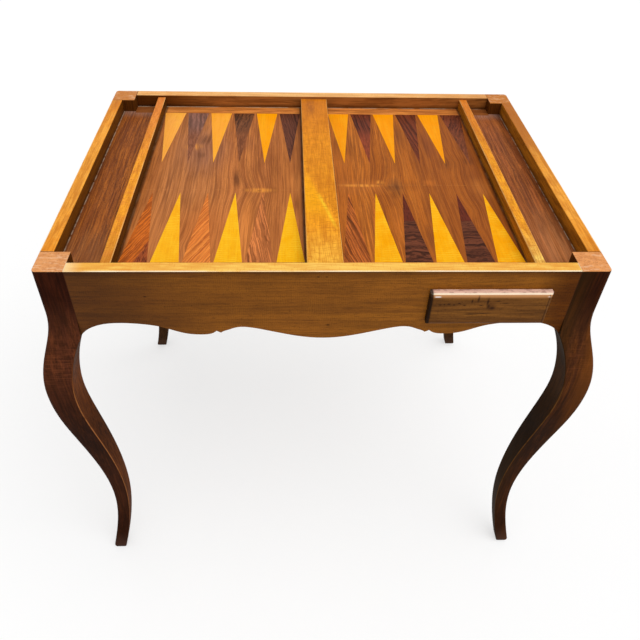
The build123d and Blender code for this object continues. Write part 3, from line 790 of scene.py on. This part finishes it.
def drawer_marks(tree, axes, plain, log):
    """The lip's top in painted reflection and highlights, its left side in painted shadow, its foot in
    painted shade, and dark pits and pin knots in the face.
    """
    is_lip = ramp(tree, axes["y"], drawer_low.y + 12 * MM, drawer_low.y + 11 * MM)
    below = add(tree, "ShaderNodeMath", {0: drawer_high.z, 1: axes["z"]}, operation="SUBTRACT").outputs[0]
    top = product(tree, is_lip, ramp(tree, below, 2.6 * MM, 1.6 * MM))
    lit_rounding = product(tree, is_lip, ramp(tree, below, 9 * MM, 3 * MM))
    crown_highlight = product(tree, span(tree, below, 0.6 * MM, 1.9 * MM, 0.5 * MM), is_lip)
    left_side_shadow = ramp(tree, axes["x"], drawer_low.x + 5 * MM, drawer_low.x + 2.5 * MM)
    right_edge = span(tree, axes["x"], drawer_high.x - 6 * MM, drawer_high.x - 4.8 * MM, 0.6 * MM)
    foot = product(tree, is_lip, ramp(tree, axes["z"], drawer_low.z + 14 * MM, drawer_low.z))
    patchy = patches(tree, plain, 4, 0.48, 0.62, 91, stretch=(3, 1, 1))
    glints = []
    for start, end in ((drawer_low.x + 6 * MM, drawer_low.x + 14 * MM),
                       (drawer_high.x - 8 * MM, drawer_high.x - 5 * MM)):
        across = span(tree, axes["x"], start, end, 2 * MM)
        glints.append(product(tree, across, span(tree, below, 4.2 * MM, 5.4 * MM, 0.8 * MM)))
    pits = (
        (0.1755, 0.0514, 3.6, 2.6), (0.2166, 0.0419, 2.2, 10), (0.2307, 0.0477, 3, 12),
        (0.2388, 0.0594, 6, 5), (0.1900, 0.0500, 3, 2.2), (0.2093, 0.0711, 14, 1.8),
        (0.2450, 0.0460, 6, 1.6), (0.2330, 0.0560, 4, 7), (0.1630, 0.0530, 3, 2),
        (0.1980, 0.0540, 4, 2), (0.2080, 0.0460, 2, 6), (0.2270, 0.0700, 18, 1.6),
        (0.1690, 0.0520, 2, 2), (0.1830, 0.0530, 2.4, 2), (0.2220, 0.0540, 5, 2),
        (0.2560, 0.0500, 8, 1.2),
    )
    knot = ((0.2375, 0.055, 9, 12),)
    return [
        # Painted shade over the lower part of the face.
        laid(tree, "#4A2A18", foot, 0.6),
        # The lower rounding of the lip's top, lit, as painted light.
        laid(tree, "#C48A58", lit_rounding, 0.85),
        *spots(tree, axes, pits, "#20100A", 0.85),
        *spots(tree, axes, knot, "#3E200E", 0.5),
        laid(tree, "#2A160A", product(tree, is_lip, right_edge), 0.8),
        # The lip's top as a painted reflection of the sky, a painted highlight along its crown, and painted
        # glints.
        laid(tree, "#ECC2AE", top, 0.95),
        laid(tree, "#94645A", top, patchy, 0.6),
        laid(tree, "#FFEED0", crown_highlight, 0.95),
        laid(tree, "#FFFFFF", glints[0]),
        laid(tree, "#FFF6EA", glints[1], 0.6),
        # The lip's left side painted near black as shadow.
        laid(tree, "#160C08", product(tree, is_lip, left_side_shadow), 0.9),
    ]


# Drawer: a waxed cherry front with strong figure and dark pits, on a box of bare poplar, which gives a
# pale, dry, yellowish wood.
dress(wood("waxed_cherry_drawer", "xyz", light="#825220", dark="#543214", streak="#3A200C", warm="#986224",
           seed=81, rings=(17, 0.3), lines=(6, 0.35, 0.5), streaks=(9, 0.5), glow=(12, 0.5), clouds=0.4,
           grime=0.4, pith=(60, 30), marks=drawer_marks), "drawer_front")
bare_poplar = dict(light="#C9A570", dark="#A68250", streak="#80603A", warm="#D0AC74", roughness=0.58)
dress(wood("bare_poplar_side", "yxz", seed=83, **bare_poplar),
      "drawer_side_left", "drawer_side_right", "drawer_bottom")
dress(wood("bare_poplar_back", "xyz", seed=85, **bare_poplar), "drawer_back")


def iron(name):
    """Old iron screws: dark grey metal with matt brown rust in patches."""
    material = bpy.data.materials.new(name)
    material.use_nodes = True
    tree = material.node_tree
    tree.nodes.clear()
    vector = add(tree, "ShaderNodeTexCoord").outputs["Object"]
    rust = patches(tree, vector, 2.5, 0.4, 0.65, 5)
    colour = painted(tree, linear("#77736E"), [laid(tree, "#5A3A26", rust)])
    rough = add(tree, "ShaderNodeMapRange", {"Value": rust, "To Min": 0.4, "To Max": 0.75})
    bump = add(tree, "ShaderNodeBump", {"Strength": 0.3, "Distance": 0.2 * MM, "Height": rust})
    shader = add(
        tree, "ShaderNodeBsdfPrincipled",
        {"Base Color": colour, "Metallic": 0.85, "Roughness": rough.outputs[0], "Normal": bump.outputs[0]},
    )
    add(tree, "ShaderNodeOutputMaterial", {"Surface": shader.outputs[0]})
    return material


dress(iron("rusty_iron_screws"), "bearer_screws", "short_screws")


# Floor, light and camera

def seen_directly(tree):
    """1 for what the camera sees, also in a gloss or through glass."""
    path = add(tree, "ShaderNodeLightPath").outputs
    seen = path["Is Camera Ray"]
    for ray in ("Is Glossy Ray", "Is Transmission Ray"):
        seen = add(tree, "ShaderNodeMath", {0: seen, 1: path[ray]}, operation="MAXIMUM").outputs[0]
    return seen


def pale_floor(reach, softening):
    """A matt white painted floor, faintly mottled, whose shadows are seen softened."""
    mesh = bpy.data.meshes.new("floor")
    corners = [(-reach, -reach, 0), (reach, -reach, 0), (reach, reach, 0), (-reach, reach, 0)]
    mesh.from_pydata(corners, [], [(0, 1, 2, 3)])
    floor = bpy.data.objects.new("floor", mesh)
    bpy.context.scene.collection.objects.link(floor)
    material = bpy.data.materials.new("white_floor")
    material.use_nodes = True
    tree = material.node_tree
    tree.nodes.clear()
    vector = add(tree, "ShaderNodeTexCoord").outputs["Object"]
    mottle = patches(tree, vector, 400, 0.3, 0.7, 3)
    colour = painted(tree, linear("#FFFFFF"), [laid(tree, "#FDFDFD", mottle)])
    shader = add(
        tree, "ShaderNodeBsdfPrincipled",
        {"Base Color": colour, "Roughness": 0.9, "Specular IOR Level": 0.0},
    )
    white = add(tree, "ShaderNodeEmission", {"Color": linear("#FFFFFF"), "Strength": 1.0})
    softened = product(tree, seen_directly(tree), softening)
    mixed = add(tree, "ShaderNodeMixShader", {0: softened, 1: shader.outputs[0], 2: white.outputs[0]})
    add(tree, "ShaderNodeOutputMaterial", {"Surface": mixed.outputs[0]})
    mesh.materials.append(material)


def studio_world(ambient):
    """Even light from all round, white where it is seen directly, in a gloss or through glass."""
    world = bpy.data.worlds.new("studio")
    bpy.context.scene.world = world
    world.use_nodes = True
    tree = world.node_tree
    tree.nodes.clear()
    strength = add(
        tree, "ShaderNodeMapRange", {"Value": seen_directly(tree), "To Min": ambient, "To Max": 1.0},
    )
    light = add(tree, "ShaderNodeBackground", {"Color": linear("#FFFFFF"), "Strength": strength.outputs[0]})
    add(tree, "ShaderNodeOutputWorld", {"Surface": light.outputs[0]})


def key_light(share, aim_from, softness):
    """One soft lamp far off: share is how much of a surface's own colour it shows face on."""
    lamp = bpy.data.lights.new("key", "SUN")
    lamp.energy = share * math.pi
    lamp.angle = math.radians(softness)
    key = bpy.data.objects.new("key", lamp)
    key.matrix_world = Vector(aim_from).to_track_quat("Z", "Y").to_matrix().to_4x4()
    bpy.context.scene.collection.objects.link(key)


def photograph_camera(place, yaw, pitch, roll, focal_length, shift):
    """The camera where the photographer stood, looking down at the well; its film is 36 mm wide."""
    forward = Vector((math.sin(yaw) * math.cos(pitch), math.cos(yaw) * math.cos(pitch), -math.sin(pitch)))
    level = Vector((math.cos(yaw), -math.sin(yaw), 0))
    lift = level.cross(forward)
    right = math.cos(roll) * level + math.sin(roll) * lift
    up = -math.sin(roll) * level + math.cos(roll) * lift
    lens = bpy.data.cameras.new("camera")
    lens.sensor_width = 36
    lens.lens = focal_length
    lens.shift_x, lens.shift_y = shift
    camera = bpy.data.objects.new("camera", lens)
    turn = Matrix((right, up, -forward)).transposed().to_4x4()
    camera.matrix_world = Matrix.Translation(Vector(place)) @ turn
    bpy.context.scene.collection.objects.link(camera)
    bpy.context.scene.camera = camera


pale_floor(reach=30, softening=0.6)
studio_world(ambient=0.62)
key_light(share=0.48, aim_from=(0.4, -0.3, 1.0), softness=60)
photograph_camera(
    place=(-0.05304, -0.95188, 1.29902), yaw=0.04793, pitch=0.70276, roll=0.0301, focal_length=35.768,
    shift=(0.01405, -0.07105),
)
bpy.context.scene.view_settings.view_transform = "Standard"
